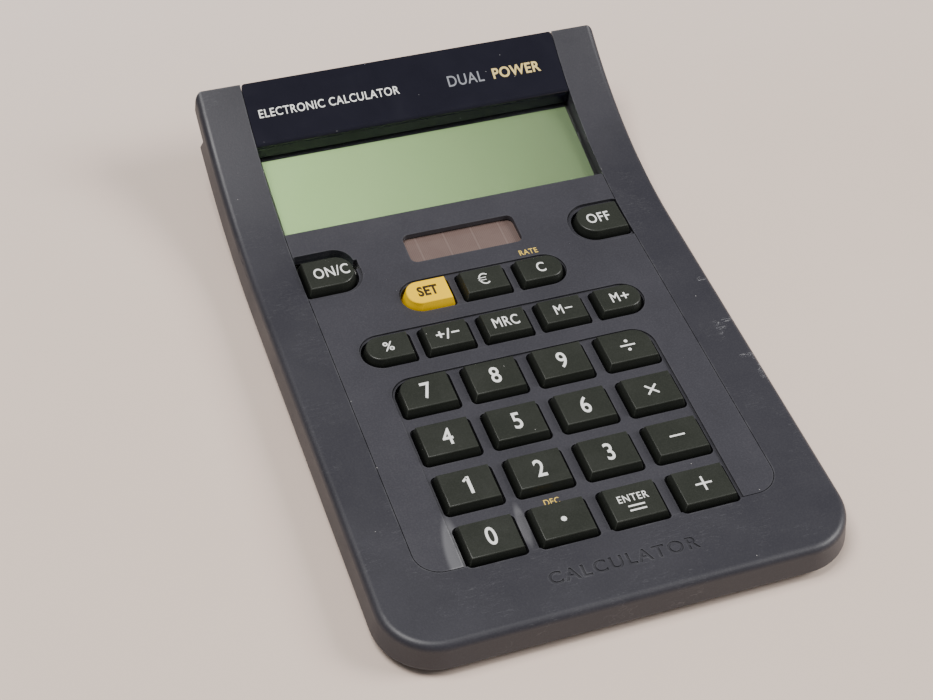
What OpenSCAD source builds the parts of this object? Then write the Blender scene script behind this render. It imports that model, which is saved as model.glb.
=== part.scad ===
// Desk calculator with a keypad, a raised display head, a solar cell and a button cell.
// The origin is on the desk, under the middle of the case. The display end points to +Y.

/* [Case] */
// Width of the case at the top of its side walls
body_w = 100; // [98:1:130]
// Height of the flat top face above the lower case's underside
slab_t = 7.7; // [7.6:0.1:10]
// How far each side wall leans outwards from top to bottom
wall_draft = 0.7; // [0:0.1:1]
// Radius of the front corners, seen from above
corner_r = 12; // [9:0.5:16]
// Radius of the rear corners, seen from above
rear_corner_r = 2.5; // [1:0.5:4]
// Radius of the long top edge
edge_r = 1.8; // [1:0.1:2]
// Thickness of the upper case's side walls
wall_t = 1.8; // [1.4:0.1:2.2]
// Thickness of the upper case's top skin
skin_t = 2.4; // [2.2:0.1:2.6]
// Thickness of the lower case's floor
floor_t = 1.2; // [1:0.1:1.4]
// Height of the lower case's visible rim
rim_h = 1.6; // [1.2:0.1:2]
// How far the lower case stands back under the upper case
rim_inset = 0.6; // [0.3:0.1:0.8]

/* [Display head] */
// Radius of the concave sweep that lifts the display head
bend_r = 100; // [90:1:130]
// Length of the head, from where the sweep starts to the rear edge
head_l = 53.5; // [50:0.5:58]
// Length of the thin lip behind the lower case
lip_l = 9.5; // [6:0.5:12]
// Thickness of that lip
lip_t = 3.2; // [3:0.1:3.6]
// Length of the glossy band behind the display
band_l = 14; // [12:0.5:16]
// Length of the display opening, seen from above
window_l = 23.5; // [20:0.5:26]
// Depth of the lens below the panel at the display's front edge
window_front_drop = 2.1; // [1.8:0.1:2.4]
// Depth of the lens below the band at the display's rear edge
window_rear_drop = 3.7; // [3.2:0.1:3.8]

/* [Keypad panel] */
// Width of the inlaid centre panel
panel_w = 77.8; // [76:0.2:84]
// Thickness of the centre panel
panel_t = 1.2; // [1:0.1:1.4]
// Depth of the shallow wells around the key rows
well_depth = 0.45; // [0.3:0.05:0.6]
// Gap around the inlaid pieces
seam = 0.15; // [0.1:0.01:0.2]

/* [Number keys] */
// Spacing of the number keys across the keypad
pitch_x = 15.3; // [15:0.1:16.2]
// Spacing of the number keys along the keypad
pitch_y = 13.3; // [12.9:0.1:13.6]
// Width of a number key's base
key_w = 12.2; // [11.6:0.1:12.6]
// Depth of a number key's base
key_d = 9.6; // [9:0.1:10]
// Distance from the case's front edge to the first number row
first_row = 21.95; // [21:0.05:25]

/* [Function keys] */
// Spacing of the small function keys
small_pitch = 13.4; // [13:0.1:14]
// Width of a small key's base
small_w = 10.9; // [10.4:0.1:11.2]
// Depth of a small key's base
small_d = 7.9; // [7.4:0.1:8.2]
// Distance from the last number row to the memory row
memory_gap = 14.25; // [14:0.05:15]
// Distance from the memory row to the upper function row
function_gap = 13.65; // [13:0.05:14.5]
// Width of the on and off keys
power_w = 12; // [11:0.1:12.6]
// Depth of the on and off keys
power_d = 9.7; // [9:0.1:10]
// Distance from the upper function row to the on and off keys
power_gap = 11.65; // [11:0.05:13]
// Distance from the on and off keys to the display opening
display_gap = 14.1; // [13:0.1:16]

/* [Key action] */
// Height of the key tops above the panel
key_proud = 1.5; // [1.2:0.1:2]
// Travel of a key
key_travel = 0.9; // [0.6:0.1:0.9]
// Gap between a key and its hole
key_gap = 0.5; // [0.3:0.05:0.6]
// Width of the flange that keeps a key in the case
flange_w = 0.8; // [0.6:0.1:1]

/* [Fastenings] */
// Radius of the rubber feet
foot_r = 4; // [3:0.5:5]
// Height of the feet below the lower case
foot_h = 0.8; // [0.6:0.1:1.2]
// Radius of a case screw's shank
screw_r = 1.1; // [0.9:0.1:1.3]
// Radius of a case screw's head
screw_head_r = 2; // [1.8:0.1:2.2]

/* [Inner parts] */
// Thickness of the circuit board
board_t = 0.8; // [0.6:0.1:0.8]
// Thickness of the silicone mat's web
mat_t = 0.5; // [0.4:0.1:0.6]
// Radius of the button cell
cell_r = 5.8; // [5:0.1:6]
// Height of the button cell
cell_h = 3.05; // [2.6:0.05:3.1]
// Thickness of the display lens
lens_t = 1; // [0.8:0.1:1.1]

/* [Hidden] */
$fn = 96;
slip = 0.1;          // clearance between static inner pieces
through = 20;        // long enough to cut through any wall
half_w = body_w / 2;
keypad_l = first_row + 3 * pitch_y + memory_gap + function_gap + power_gap;
body_l = keypad_l + display_gap + window_l + band_l;
front_y = wall_draft - body_l / 2;
rear_y = body_l / 2;
base_z = foot_h;
top_z = base_z + slab_t;
bend_y = rear_y - head_l;
bend_z = top_z + bend_r;
part_h = rim_h - slab_t;                   // parting line, measured down from the top face
part_z = top_z + part_h;
floor_z = base_z + floor_t;
bend_angle = asin(head_l / bend_r) + 3;
step_y = rear_y - lip_l;
step_angle = asin((step_y - bend_y) / bend_r);

// Panel and display opening
panel_front_y = -body_l / 2 + 17.5;
panel_corner_r = 5.5;
band_y = rear_y - band_l;
panel_rear_y = band_y - window_l;
panel_half = panel_w / 2;
pocket_half = panel_half + seam;
deck_z = top_z - skin_t;                   // underside of the upper case's skin
band_t = 1.8;
band_lip_l = 1.5;
band_lip_h = (window_rear_drop - slip) * (bend_z - surface_z(band_y)) / bend_r;
band_edge_r = 0.9;

// Rows and places of the keys
number_half = 1.5 * pitch_x;
row_y = [for (r = [0:3]) first_row - body_l / 2 + (3 - r) * pitch_y];
memory_y = row_y[0] + memory_gap;
function_y = memory_y + function_gap;
power_y = function_y + power_gap;
power_x = panel_half - 0.4 - power_w / 2;
key_r = 0.8;
end_r = small_d / 2 - 0.3;
power_end_r = power_d / 2 - 0.3;
corner_key_r = 4.2;
NUMBER_KEYS = [
    ["key_7", "key_8", "key_9", "key_divide"],
    ["key_4", "key_5", "key_6", "key_times"],
    ["key_1", "key_2", "key_3", "key_minus"],
    ["key_0", "key_point", "key_equals", "key_plus"]];
MEMORY_KEYS = ["key_percent", "key_sign", "key_mrc", "key_memory_minus", "key_memory_plus"];
FUNCTION_KEYS = ["key_set", "key_euro", "key_clear"];
key_top_z = top_z + key_proud;
flange_t = 0.7;
flange_z = deck_z - 0.3 - flange_t;        // underside of a key
cap_lean = 0.55;
cap_h = 2.6;                               // height of the leaning part of a key cap
cap_edge_r = 0.35;

// Board, mat and display stack
dome_h = key_travel + 0.2;
mat_z = flange_z - dome_h - mat_t;
board_z = mat_z - board_t;
board_half = number_half + key_w / 2 + 6.95;
board_front_y = panel_front_y + 1;
board_rear_y = power_y + power_d / 2 + 2.7;
dome_r = 3.4;
dome_top_r = 2.4;
dome_bore_r = 2;
pill_r = 1.5;
pill_t = 0.3;
solar_half = 13.4;
solar_y = power_y + 3.2;
solar_d = 8.6;
solar_corner_r = 1.6;
solar_t = 1.1;
solar_margin = 1.6;
window_front_z = surface_z(panel_rear_y) - window_front_drop;
window_rear_z = surface_z(band_y) - window_rear_drop;
window_slope = atan((window_rear_z - window_front_z) / window_l);
lens_half = panel_half - 0.4;
lens_tuck = 1.2;                           // how far the lens reaches under the pieces around it
lcd_half = lens_half - 0.4;
lcd_t = 0.55;                              // one of the two glasses
lcd_ledge = 1.8;
reflector_t = 0.2;
holder_t = 0.5;

// Fastenings
boss_r = 3.4;
post_x = max((pocket_half + half_w - wall_t) / 2, board_half + boss_r + 0.3);
case_screws = [for (sx = [-1, 1], y = [front_y + 12, bend_y - 2.5]) [sx * post_x, y]];
feet = [for (sx = [-1, 1], y = [front_y + 12, bend_y - 6.5]) [sx * (post_x - 8), y]];
board_screws = [for (sx = [-1, 1], y = [row_y[3] + 4, row_y[0] + 7]) [sx * (board_half - 1.9), y]];
post_r = 2.8;
head_t = 1.2;
head_sink = 0.2;
boss_floor = 0.8;
board_screw_r = 0.8;
board_head_r = 1.5;
board_head_t = 0.4;
board_post_r = 1.6;
cell_y = front_y + 8.9;
strip_w = 4;
strip_t = 0.2;

// Height of the swept top surface at a place along the case
function surface_z(y) = y < bend_y ? top_z : bend_z - sqrt(bend_r * bend_r - pow(y - bend_y, 2));

// ---- Outlines -------------------------------------------------------------

// Rectangle with its own radius at each corner: front left, front right, back right, back left
module corner_rect(w, d, radii) {
    signs = [[-1, -1], [1, -1], [1, 1], [-1, 1]];
    difference() {
        square([w, d], center = true);
        for (i = [0:3])
            translate([signs[i][0] * w / 2, signs[i][1] * d / 2])
                square(2 * radii[i], center = true);
    }
    for (i = [0:3])
        translate([signs[i][0] * (w / 2 - radii[i]), signs[i][1] * (d / 2 - radii[i])])
            circle(radii[i]);
}

module round_rect(w, d, r) {
    corner_rect(w, d, [r, r, r, r]);
}

// Cross-section of a shell from its middle to its outer wall, with heights from the top face.
// x = 0 is the outer wall at the shoulder below the top edge.
module edge_section(run, high, low, round_top, round_low, lean) {
    polygon([[-run, low], [lean - round_low, low], [lean, low + round_low], [0, high - round_top],
             [-round_top, high], [-run, high]]);
    if (round_top > 0)
        translate([-round_top, high - round_top]) circle(round_top);
    if (round_low > 0)
        translate([lean - round_low, low + round_low]) circle(round_low);
}

module full_section(half, high, low, round_top, round_low, lean) {
    for (side = [0, 1])
        mirror([side, 0])
            translate([half, 0])
                edge_section(half, high, low, round_top, round_low, lean);
}

// ---- Swept solids ---------------------------------------------------------

// Carries a cross-section around the sweep of the display head
module around_bend(angle, start = 0) {
    translate([0, bend_y, bend_z])
        rotate([0, 90, 0])
            rotate(start)
                rotate_extrude(angle = angle - start)
                    translate([bend_r, 0])
                        rotate(90)
                            children();
}

// Draws a side profile (y, z) and gives it a width
module side_profile(width) {
    rotate([90, 0, 90])
        linear_extrude(width, center = true)
            children();
}

// Layer of the case between two depths, flat and then swept, as a side profile
module layer_profile(y0, y1, high, low) {
    if (y0 < bend_y)
        translate([y0, top_z + low])
            square([min(bend_y, y1) - y0, high - low]);
    if (y1 > bend_y)
        intersection() {
            translate([bend_y, bend_z])
                difference() {
                    circle(bend_r - low, $fn = 360);
                    circle(bend_r - high, $fn = 360);
                }
            translate([max(bend_y, y0), 0])
                square([y1 - max(bend_y, y0), bend_z / 2]);
        }
}

// Whole plan of the case, drawn in by an inset and cut off at the rear
module plan(inset, rear) {
    w = body_w + 2 * wall_draft - 2 * inset;
    l = rear - front_y - inset + wall_draft;
    r = corner_r + wall_draft - inset;
    translate([0, front_y - wall_draft + inset + l / 2])
        corner_rect(w, l, [r, r, rear_corner_r, rear_corner_r]);
}

// Case-shaped layer with flat front, rounded front corners and the swept head
module slab(inset, high, low, round_top, round_low, lean, angle) {
    half = half_w - inset;
    r = corner_r - inset;
    front = front_y + inset;
    translate([0, bend_y, top_z])
        rotate([90, 0, 0])
            linear_extrude(bend_y - front - r)
                full_section(half, high, low, round_top, round_low, lean);
    around_bend(angle)
        full_section(half, high, low, round_top, round_low, lean);
    translate([0, front + r, top_z])
        rotate([90, 0, -90])
            linear_extrude(2 * (half - r), center = true)
                translate([r, 0])
                    edge_section(r, high, low, round_top, round_low, lean);
    for (side = [0, 1])
        mirror([side, 0, 0])
            translate([half - r, front + r, top_z])
                rotate(-90)
                    rotate_extrude(angle = 90)
                        intersection() {
                            translate([r, 0])
                                edge_section(r, high, low, round_top, round_low, lean);
                            translate([0, low])
                                square([2 * r, high - low]);
                        }
}

// ---- Keys: outlines, places and holes -------------------------------------

// [name, x, y, base width, base depth, corner radii]
function number_key(r, c) = [
    NUMBER_KEYS[r][c], c * pitch_x - number_half, row_y[r], key_w, key_d,
    [key_r, key_r, r == 0 && c == 3 ? corner_key_r : key_r, r == 0 && c == 0 ? corner_key_r : key_r]];

function row_key(names, i, y) = let (
    left = i == 0 ? end_r : key_r,
    right = i == len(names) - 1 ? end_r : key_r
) [names[i], (i - (len(names) - 1) / 2) * small_pitch, y, small_w, small_d, [left, right, right, left]];

function power_key(side) = [
    side < 0 ? "key_on" : "key_off", side * power_x, power_y, power_w, power_d,
    side < 0 ? [key_r, power_end_r, power_end_r, key_r] : [power_end_r, key_r, key_r, power_end_r]];

KEYS = concat(
    [power_key(-1), power_key(1)],
    [for (i = [0:len(FUNCTION_KEYS) - 1]) row_key(FUNCTION_KEYS, i, function_y)],
    [for (i = [0:len(MEMORY_KEYS) - 1]) row_key(MEMORY_KEYS, i, memory_y)],
    [for (r = [0:3], c = [0:3]) number_key(r, c)]);

// A key's outline, grown or shrunk by a margin
module key_outline(key, margin) {
    translate([key[1], key[2]])
        corner_rect(key[3] + 2 * margin, key[4] + 2 * margin,
                    [for (r = key[5]) max(r + margin, 0.3)]);
}

module key_holes(margin) {
    for (key = KEYS)
        key_outline(key, margin);
}

// Slab-sided cap profile: straight walls below, leaning walls and a rounded top edge above
module cap_profile(w) {
    h = key_top_z - flange_z;
    top = w / 2 - cap_lean;
    polygon([[-w / 2, 0], [w / 2, 0], [w / 2, h - cap_h], [top, h - cap_edge_r],
             [top - cap_edge_r, h], [cap_edge_r - top, h], [-top, h - cap_edge_r], [-w / 2, h - cap_h]]);
    for (side = [-1, 1])
        translate([side * (top - cap_edge_r), h - cap_edge_r])
            circle(cap_edge_r);
}

// What the leaning sides leave outside the arc of a key's wide corner
module corner_waste(key, side_x, side_y, r) {
    h = key_top_z - flange_z;
    translate([key[1] + side_x * (key[3] / 2 - r), key[2] + side_y * (key[4] / 2 - r), flange_z])
        difference() {
            translate([min(0, side_x * (r + 1)), min(0, side_y * (r + 1)), h - cap_h])
                cube([r + 1, r + 1, cap_h + 1]);
            rotate_extrude()
                intersection() {
                    cap_profile(2 * r);
                    square(through);
                }
        }
}

module key_cap(key) {
    sides = [[-1, -1], [1, -1], [1, 1], [-1, 1]];
    color(key[0] == "key_set" ? "#e5bf45" : "#2c2e29") {
        difference() {
            intersection() {
                translate([0, 0, flange_z])
                    linear_extrude(key_top_z - flange_z)
                        key_outline(key, 0);
                translate([key[1], key[2], flange_z])
                    rotate([90, 0, 0])
                        linear_extrude(2 * key[4], center = true)
                            cap_profile(key[3]);
                translate([key[1], key[2], flange_z])
                    side_profile(2 * key[3])
                        cap_profile(key[4]);
            }
            for (i = [0:3])
                if (key[5][i] > key_r)
                    corner_waste(key, sides[i][0], sides[i][1], key[5][i]);
        }
        translate([0, 0, flange_z])
            linear_extrude(flange_t)
                intersection() {
                    key_outline(key, flange_w);
                    square([2 * (board_half + 2), body_l], center = true);
                }
    }
}

// ---- Wells and openings of the centre panel -------------------------------

// The number keys' well runs off the panel's front edge
module number_well() {
    back_y = row_y[0] + key_d / 2 + key_gap + 0.35;
    l = back_y - panel_front_y + 1;
    translate([0, back_y - l / 2])
        corner_rect(3 * pitch_x + key_w + 2.1, l, [0.3, 0.3, 5, 5]);
}

module row_well(names, y) {
    l = small_d + 1.9;
    translate([0, y + 0.3])
        round_rect((len(names) - 1) * small_pitch + small_w + 1.5, l, l / 2 - 0.1);
}

module power_well() {
    for (side = [-1, 1])
        key_outline(power_key(side), 1.4);
}

// The on key's hole is longer than the key, and has a small notch at its round end
module on_key_relief() {
    relief = 2.2;
    w = power_w + 2 * key_gap;
    d = power_d + 2 * key_gap + relief;
    translate([-power_x, power_y + relief / 2])
        corner_rect(w, d, [key_r, power_end_r, power_end_r, key_r]);
    translate([-power_x + w / 2 - 0.2, power_y + relief])
        square([2, 2.4], center = true);
}

module solar_opening() {
    translate([0, solar_y])
        round_rect(2 * solar_half, solar_d, solar_corner_r);
}

// ---- Case -----------------------------------------------------------------

// Pocket that the centre panel lies in
module panel_pocket() {
    intersection() {
        side_profile(2 * pocket_half)
            layer_profile(panel_front_y - seam, panel_rear_y + seam, 2, -panel_t - slip);
        linear_extrude(through)
            translate([0, (panel_front_y + rear_y) / 2])
                corner_rect(2 * pocket_half, rear_y - panel_front_y + 2 * seam,
                            [panel_corner_r + seam, panel_corner_r + seam, 0.3, 0.3]);
    }
}

module screw_posts(places, r, low, high) {
    for (p = places)
        translate([p[0], p[1], low])
            cylinder(h = high - low, r = r);
}

module upper_case() {
    color("#43434e")
        difference() {
            union() {
                difference() {
                    intersection() {
                        difference() {
                            slab(0, 0, part_h, edge_r, 0, wall_draft, bend_angle);
                            around_bend(bend_angle + 1, step_angle)
                                translate([0, -lip_t - 5])
                                    square([body_w + 10, 10], center = true);
                        }
                        linear_extrude(2 * through)
                            plan(0, rear_y);
                    }
                    slab(wall_t, -skin_t, -slab_t - 2, 0.3, 0, 0, step_angle - 1);
                }
                // Walls on both sides of the display, and behind it
                for (side = [-1, 1])
                    translate([side * (pocket_half + 0.6), 0, 0])
                        side_profile(1.2)
                            layer_profile(panel_rear_y - 4, step_y - 3, -skin_t + 0.2, part_h + 1);
                screw_posts(case_screws, post_r, floor_z + boss_floor + head_sink + slip, deck_z + 0.2);
                screw_posts(board_screws, board_post_r, board_z + board_t, deck_z + 0.2);
            }
            panel_pocket();
            // Display opening, and the pocket of the band behind it
            side_profile(2 * pocket_half)
                layer_profile(panel_rear_y - slip, band_y + band_lip_l + slip, 2, -slab_t);
            side_profile(2 * pocket_half)
                layer_profile(band_y, rear_y + 1, 2, -band_t - slip);
            // Windows for the keys and the solar cell
            translate([0, 0, deck_z - 1])
                linear_extrude(through) {
                    key_holes(key_gap);
                    on_key_relief();
                }
            translate([0, solar_y, deck_z - 1])
                linear_extrude(through)
                    square([2 * (solar_half + solar_margin + slip), solar_d + 2 * (solar_margin + slip)],
                           center = true);
            for (p = case_screws)
                translate([p[0], p[1], 0])
                    cylinder(h = deck_z, r = screw_r);
            for (p = board_screws)
                translate([p[0], p[1], 0])
                    cylinder(h = deck_z, r = board_screw_r);
        }
}

module lower_case() {
    tongue_h = 1.4;
    tongue_t = 1.2;
    color("#2e2e36")
        difference() {
            union() {
                difference() {
                    slab(rim_inset - wall_draft, part_h - slip, -slab_t, 0, 0.45 * rim_h, 0, step_angle - 1);
                    slab(wall_t + 1.4, 1, floor_t - slab_t, 0, 0, 0, step_angle - 2);
                }
                // Tongue that locates the upper case's wall from inside
                difference() {
                    slab(wall_t + 0.2, part_h + tongue_h, floor_t - slab_t - 0.2, 0, 0, 0, step_angle - 1.4);
                    slab(wall_t + 0.2 + tongue_t, 1, -slab_t - 1, 0, 0, 0, step_angle - 2.2);
                }
                screw_posts(case_screws, boss_r, base_z + 0.4, floor_z + head_sink + boss_floor);
                // Ring that holds the button cell
                translate([0, cell_y, floor_z - 0.2])
                    cylinder(h = 2.2, r = cell_r + slip + 1);
            }
            translate([0, cell_y, floor_z])
                cylinder(h = 4, r = cell_r + slip);
            translate([0, cell_y + cell_r, floor_z + 1.5])
                cube([strip_w + 1, 5, 3], center = true);
            for (p = case_screws) {
                translate([p[0], p[1], 0])
                    cylinder(h = floor_z + head_sink, r = screw_head_r + 0.3);
                translate([p[0], p[1], 0])
                    cylinder(h = through, r = screw_r + 0.15);
            }
            for (p = feet)
                translate([p[0], p[1], 0])
                    cylinder(h = base_z + 0.4, r = foot_r + slip);
            // Room beside the tongue for the upper case's posts
            screw_posts(case_screws, post_r + slip, floor_z + head_sink + boss_floor + slip / 2, top_z);
        }
}

module keypad_panel() {
    color("#45454f")
        difference() {
            intersection() {
                side_profile(panel_w)
                    layer_profile(panel_front_y, panel_rear_y, 0, -panel_t);
                linear_extrude(through)
                    translate([0, (panel_front_y + rear_y) / 2])
                        corner_rect(panel_w, rear_y - panel_front_y,
                                    [panel_corner_r, panel_corner_r, 0.3, 0.3]);
            }
            translate([0, 0, top_z - well_depth])
                linear_extrude(through) {
                    number_well();
                    row_well(MEMORY_KEYS, memory_y);
                    row_well(FUNCTION_KEYS, function_y);
                    power_well();
                }
            linear_extrude(through) {
                key_holes(key_gap);
                on_key_relief();
                solar_opening();
            }
        }
}

module display_band() {
    color("#12121c")
        intersection() {
            side_profile(panel_w) {
                layer_profile(band_y + band_edge_r, rear_y, 0, -band_t);
                layer_profile(band_y, band_y + band_lip_l, -band_edge_r, -band_lip_h);
                translate([band_y + band_edge_r, surface_z(band_y + band_edge_r) - band_edge_r])
                    circle(band_edge_r);
            }
            linear_extrude(2 * through)
                translate([0, rear_y - 20])
                    corner_rect(panel_w, 40, [0.3, 0.3, 0.8, 0.8]);
        }
}

// ---- Display stack: plates parallel to the lens ---------------------------

// A plate of the display stack; depth is measured down from the lens's top face
module display_plate(half, front, back, depth, t) {
    translate([0, panel_rear_y, window_front_z])
        rotate([window_slope, 0, 0])
            translate([0, (front + back) / 2, -depth - t / 2])
                cube([2 * half, back - front, t], center = true);
}

window_run = window_l / cos(window_slope);

module display_lens() {
    color("#c8d2c4", 0.35)
        display_plate(lens_half, 0.1, window_run + lens_tuck, 0, lens_t);
}

module lcd_glass() {
    color("#a8bd9c") {
        display_plate(lcd_half, 0.5, window_run + 0.8, lens_t + slip, lcd_t);
        display_plate(lcd_half, 0.5 + lcd_ledge, window_run + 0.8, lens_t + slip + lcd_t, lcd_t);
    }
}

module lcd_reflector() {
    color("#9aa88e")
        display_plate(lcd_half, 0.5 + lcd_ledge, window_run + 0.8, lens_t + slip + 2 * lcd_t, reflector_t);
}

module lcd_holder() {
    depth = lens_t + slip + 2 * lcd_t + reflector_t;
    color("#d8d8d2")
        difference() {
            display_plate(lens_half, 0.5 + lcd_ledge, window_run + 1, depth, holder_t);
            display_plate(lens_half - 8, 6, window_run - 5, depth - 0.1, holder_t + 0.2);
        }
}

// Flexible strip from the glass's ledge down to the board
module display_flex() {
    ledge_drop = (lens_t + slip + lcd_t) / cos(window_slope);
    ledge_y0 = panel_rear_y + 0.9;
    ledge_y1 = panel_rear_y + 1.9;
    z0 = window_front_z + 0.9 * tan(window_slope) - ledge_drop;
    z1 = window_front_z + 1.9 * tan(window_slope) - ledge_drop;
    board_top = board_z + board_t;
    color("#b9854a")
        side_profile(2 * lcd_half - 24)
            polygon([
                [board_rear_y - 1.6, board_top], [board_rear_y + 0.2, board_top],
                [ledge_y0 + 0.2, z0 - strip_t], [ledge_y1, z1 - strip_t], [ledge_y1, z1], [ledge_y0, z0],
                [board_rear_y, board_top + strip_t], [board_rear_y - 1.6, board_top + strip_t]]);
}

// ---- Electronics ----------------------------------------------------------

module main_board() {
    l = board_rear_y - board_front_y;
    color("#2f6b3f")
        translate([0, 0, board_z])
            difference() {
                linear_extrude(board_t)
                    translate([0, board_front_y + l / 2])
                        round_rect(2 * board_half, l, 1);
                for (p = board_screws)
                    translate([p[0], p[1], -1])
                        cylinder(h = board_t + 2, r = board_screw_r + slip);
            }
}

module chip_cover() {
    cap_r = 4.5;
    cap_t = 1;
    ball_r = (cap_r * cap_r + cap_t * cap_t) / (2 * cap_t);
    color("#151515")
        translate([0, solar_y - 3, board_z + board_t])
            intersection() {
                translate([0, 0, cap_t - ball_r])
                    sphere(ball_r);
                cylinder(h = cap_t, r = cap_r + 1);
            }
}

// The mat leaves the space under the solar cell free
module mat_outline() {
    rear = power_y + power_d / 2 + 1.2;
    difference() {
        translate([0, (board_front_y + rear) / 2])
            round_rect(2 * board_half - 0.6, rear - board_front_y - 0.6, 1);
        translate([0, rear])
            square([2 * (power_x - power_w / 2 - 3), 2 * (rear - function_y - small_d / 2 - 2)],
                   center = true);
        translate([0, board_front_y])
            square([strip_w + 1, 6], center = true);
        for (p = board_screws)
            translate([p[0], p[1]])
                circle(board_post_r + 0.3);
    }
}

module keypad_mat() {
    color("#d9d9d4")
        difference() {
            union() {
                translate([0, 0, mat_z])
                    linear_extrude(mat_t)
                        mat_outline();
                for (key = KEYS)
                    translate([key[1], key[2], mat_z])
                        cylinder(h = mat_t + dome_h, r1 = dome_r, r2 = dome_top_r);
            }
            for (key = KEYS)
                translate([key[1], key[2], mat_z - 1])
                    cylinder(h = 1 + mat_t + dome_h - 0.4, r = dome_bore_r);
        }
}

module contact_pills() {
    color("#1a1a1a")
        for (key = KEYS)
            translate([key[1], key[2], mat_z + mat_t + dome_h - 0.4 - pill_t])
                cylinder(h = pill_t, r = pill_r);
}

module solar_cell() {
    color("#8d7770")
        translate([0, solar_y, top_z - panel_t - solar_t / 2])
            cube([2 * (solar_half + solar_margin), solar_d + 2 * solar_margin, solar_t], center = true);
}

module solar_leads() {
    low = board_z + board_t;
    high = top_z - panel_t - solar_t;
    color("#a83232")
        for (side = [-1, 1])
            translate([side * (solar_half - 4), solar_y, low])
                cylinder(h = high - low, r = 0.5);
}

module button_cell() {
    crimp = 0.4;
    color("#c9ccd0")
        translate([0, cell_y, floor_z + strip_t])
            rotate_extrude()
                polygon([[0, 0], [cell_r - 1.2, 0], [cell_r - 1.2, crimp], [cell_r - 0.3, crimp],
                         [cell_r, 2 * crimp], [cell_r, cell_h - 0.3], [cell_r - 0.3, cell_h], [0, cell_h]]);
}

module contact_strip() {
    side_profile(strip_w)
        children();
}

module cell_contact_plus() {
    top = floor_z + strip_t + cell_h;
    board_top = board_z + board_t;
    y0 = cell_y + cell_r + 0.1;
    color("#cfc9b8")
        contact_strip()
            polygon([[cell_y - 2, top], [y0, top], [y0 + 0.6, board_top], [board_front_y + 1.6, board_top],
                     [board_front_y + 1.6, board_top + strip_t], [y0 + 0.8, board_top + strip_t],
                     [y0 + 0.2, top + strip_t], [cell_y - 2, top + strip_t]]);
}

module cell_contact_minus() {
    y0 = cell_y + cell_r + 1.4;
    color("#cfc9b8")
        contact_strip()
            polygon([[cell_y - 2, floor_z], [y0, floor_z], [y0 + 0.4, board_z - strip_t],
                     [board_front_y + 2, board_z - strip_t], [board_front_y + 2, board_z],
                     [y0 + 0.2, board_z], [y0 - 0.2, floor_z + strip_t], [cell_y - 2, floor_z + strip_t]]);
}

// ---- Fastenings and feet --------------------------------------------------

module case_screws() {
    seat = floor_z + head_sink;
    color("#9a9a9a")
        for (p = case_screws)
            translate([p[0], p[1], 0]) {
                translate([0, 0, seat - head_t + 0.2])
                    difference() {
                        cylinder(h = head_t - 0.2, r = screw_head_r);
                        for (turn = [0, 90])
                            rotate(turn)
                                cube([2.4, 0.5, 1], center = true);
                    }
                translate([0, 0, seat])
                    cylinder(h = deck_z - 0.6 - seat, r = screw_r);
            }
}

module board_screws() {
    color("#9a9a9a")
        for (p = board_screws)
            translate([p[0], p[1], board_z - board_head_t]) {
                cylinder(h = board_head_t, r = board_head_r);
                cylinder(h = deck_z - 0.6 - board_z + board_head_t, r = board_screw_r);
            }
}

module rubber_feet() {
    color("#202022")
        for (p = feet)
            translate([p[0], p[1], 0])
                rotate_extrude()
                    polygon([[0, 0], [foot_r - 0.3, 0], [foot_r, 0.3], [foot_r, base_z + 0.4],
                             [0, base_z + 0.4]]);
}

upper_case();
lower_case();
keypad_panel();
display_band();
display_lens();
lcd_glass();
lcd_reflector();
lcd_holder();
display_flex();
main_board();
chip_cover();
keypad_mat();
contact_pills();
solar_cell();
solar_leads();
button_cell();
cell_contact_plus();
cell_contact_minus();
case_screws();
board_screws();
rubber_feet();
for (key = KEYS)
    key_cap(key);
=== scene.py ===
import math
import bmesh
import bpy
from mathutils import Matrix, Vector


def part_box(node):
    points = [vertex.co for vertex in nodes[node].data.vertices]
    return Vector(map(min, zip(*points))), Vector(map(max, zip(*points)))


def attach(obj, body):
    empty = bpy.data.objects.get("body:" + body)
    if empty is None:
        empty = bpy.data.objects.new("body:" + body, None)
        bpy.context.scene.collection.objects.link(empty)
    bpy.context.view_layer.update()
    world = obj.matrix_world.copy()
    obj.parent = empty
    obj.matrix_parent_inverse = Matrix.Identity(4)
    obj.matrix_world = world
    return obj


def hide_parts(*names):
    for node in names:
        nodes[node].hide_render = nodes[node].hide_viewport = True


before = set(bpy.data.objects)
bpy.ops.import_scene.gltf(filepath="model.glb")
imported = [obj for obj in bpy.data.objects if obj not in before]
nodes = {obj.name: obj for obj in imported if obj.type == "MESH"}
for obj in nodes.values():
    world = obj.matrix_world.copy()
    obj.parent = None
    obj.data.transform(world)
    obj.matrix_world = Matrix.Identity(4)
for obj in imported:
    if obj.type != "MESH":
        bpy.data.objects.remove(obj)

scene = bpy.context.scene
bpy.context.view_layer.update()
mm = 0.001

# The camera looks down at the keypad from the front left
viewpoint = {"place": (-0.11497, -0.25369, 0.29698), "turn": (42.991, -3.202, -19.333), "lens": 70.7}


def placeCamera(look):
    data = bpy.data.cameras.new("deskCamera")
    data.lens = look["lens"]
    data.sensor_width = 36
    camera = bpy.data.objects.new("deskCamera", data)
    camera.location = look["place"]
    camera.rotation_euler = [math.radians(angle) for angle in look["turn"]]
    scene.collection.objects.link(camera)
    scene.camera = camera


placeCamera(viewpoint)
print("camera placed")


# Small helpers for building node trees

def addNode(tree, kind, values=None, **settings):
    node = tree.nodes.new(kind)
    for name, setting in settings.items():
        setattr(node, name, setting)
    for socket, value in (values or {}).items():
        if isinstance(value, bpy.types.NodeSocket):
            tree.links.new(value, node.inputs[socket])
        else:
            node.inputs[socket].default_value = value
    return node


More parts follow.
